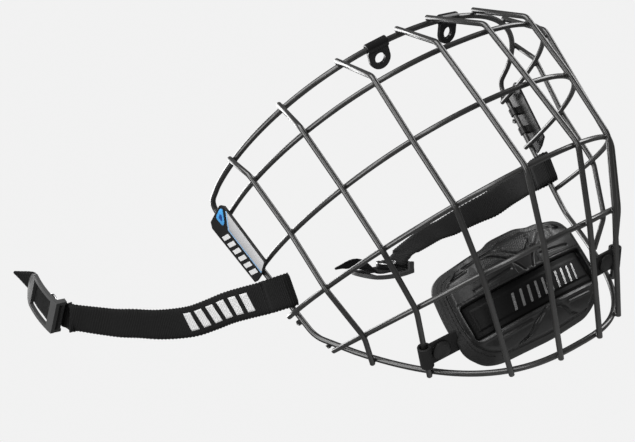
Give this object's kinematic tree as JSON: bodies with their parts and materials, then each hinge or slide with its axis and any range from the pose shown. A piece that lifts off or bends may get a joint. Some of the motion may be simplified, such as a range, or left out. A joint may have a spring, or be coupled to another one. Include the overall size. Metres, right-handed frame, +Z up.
{
  "type": "hockey helmet cage",
  "caption": "Welded wire face guard for an ice hockey helmet, with screw eyelets at the brow, side plates, webbing straps with buckles and a padded moulded chin cup.",
  "frame": {"origin": "Middle of the brow edge wire, where the cage meets the helmet's front rim", "axes": "+X to the wearer's left across the face, -Y to the front, +Z up"},
  "size_m": [0.3118, 0.2807, 0.2146],
  "materials": {
    "wire": "glossy dark grey coating",
    "plate": "gloss moulded",
    "eyelet": "gloss moulded",
    "webbing": "ribbed woven",
    "buckle": "satin moulded",
    "snap": "plated",
    "cup": "satin moulded",
    "band": "gloss",
    "liner": "soft foam skin",
    "tab": "satin",
    "cap": "satin"
  },
  "bodies": {
    "cage": {"edge_wire": "wire", "upright_1": "wire", "upright_2": "wire", "upright_3": "wire", "upright_4": "wire", "upright_5": "wire", "upright_6": "wire", "upright_7": "wire", "upright_8": "wire", "cross_brow": "wire", "cross_eye": "wire", "cross_nose": "wire", "cross_mouth": "wire", "side_plate_right": "plate", "side_plate_left": "plate"},
    "eyelet_right": {"eyelet_right": "eyelet"},
    "eyelet_left": {"eyelet_left": "eyelet"},
    "strap_right": {"strap_right": "webbing"},
    "buckle_right": {"buckle_right": "buckle", "strap_tail_right": "webbing", "strap_snap_right": "snap"},
    "strap_left": {"strap_left": "webbing"},
    "buckle_left": {"buckle_left": "buckle", "strap_tail_left": "webbing", "strap_snap_left": "snap"},
    "chin_cup": {"cup_shell": "cup", "cup_liner": "liner", "cup_band": "band", "cup_tab_right": "tab", "cup_tab_left": "tab", "snap_cap_right": "cap", "snap_cap_left": "cap", "snap_stud_right": "cap", "snap_stud_left": "cap"}
  },
  "joints": [
    {"name": "eyelet_right_swing", "type": "hinge", "parent": "cage", "child": "eyelet_right", "pos_m": [-0.024, 0.00266, -0.00044], "axis": [0.975, -0.2191, 0.0364], "continuous": true},
    {"name": "eyelet_left_swing", "type": "hinge", "parent": "cage", "child": "eyelet_left", "pos_m": [0.024, 0.00266, -0.00044], "axis": [0.975, 0.2191, -0.0364], "continuous": true},
    {"name": "strap_right_swing", "type": "hinge", "parent": "cage", "child": "strap_right", "pos_m": [-0.09799, 0.09977, -0.08155], "axis": [0.1462, -0.0882, -0.9853], "range_deg": [-100, 100]},
    {"name": "strap_left_swing", "type": "hinge", "parent": "cage", "child": "strap_left", "pos_m": [0.09799, 0.09977, -0.08155], "axis": [-0.1462, -0.0882, -0.9853], "range_deg": [-20, 160]},
    {"name": "buckle_right_tilt", "type": "hinge", "parent": "strap_right", "child": "buckle_right", "pos_m": [-0.1888, 0.2121, -0.0173], "axis": [0.3059, -0.8337, 0.4598], "range_deg": [-30, 30]},
    {"name": "buckle_left_tilt", "type": "hinge", "parent": "strap_left", "child": "buckle_left", "pos_m": [0.01, 0.16, -0.086], "axis": [-0.0501, 0.852, 0.5212], "range_deg": [-30, 30]},
    {"name": "chin_cup_tilt", "type": "hinge", "parent": "cage", "child": "chin_cup", "pos_m": [0, 0.05, -0.1527], "axis": [1, 0, 0], "range_deg": [-3, 3]}
  ]
}
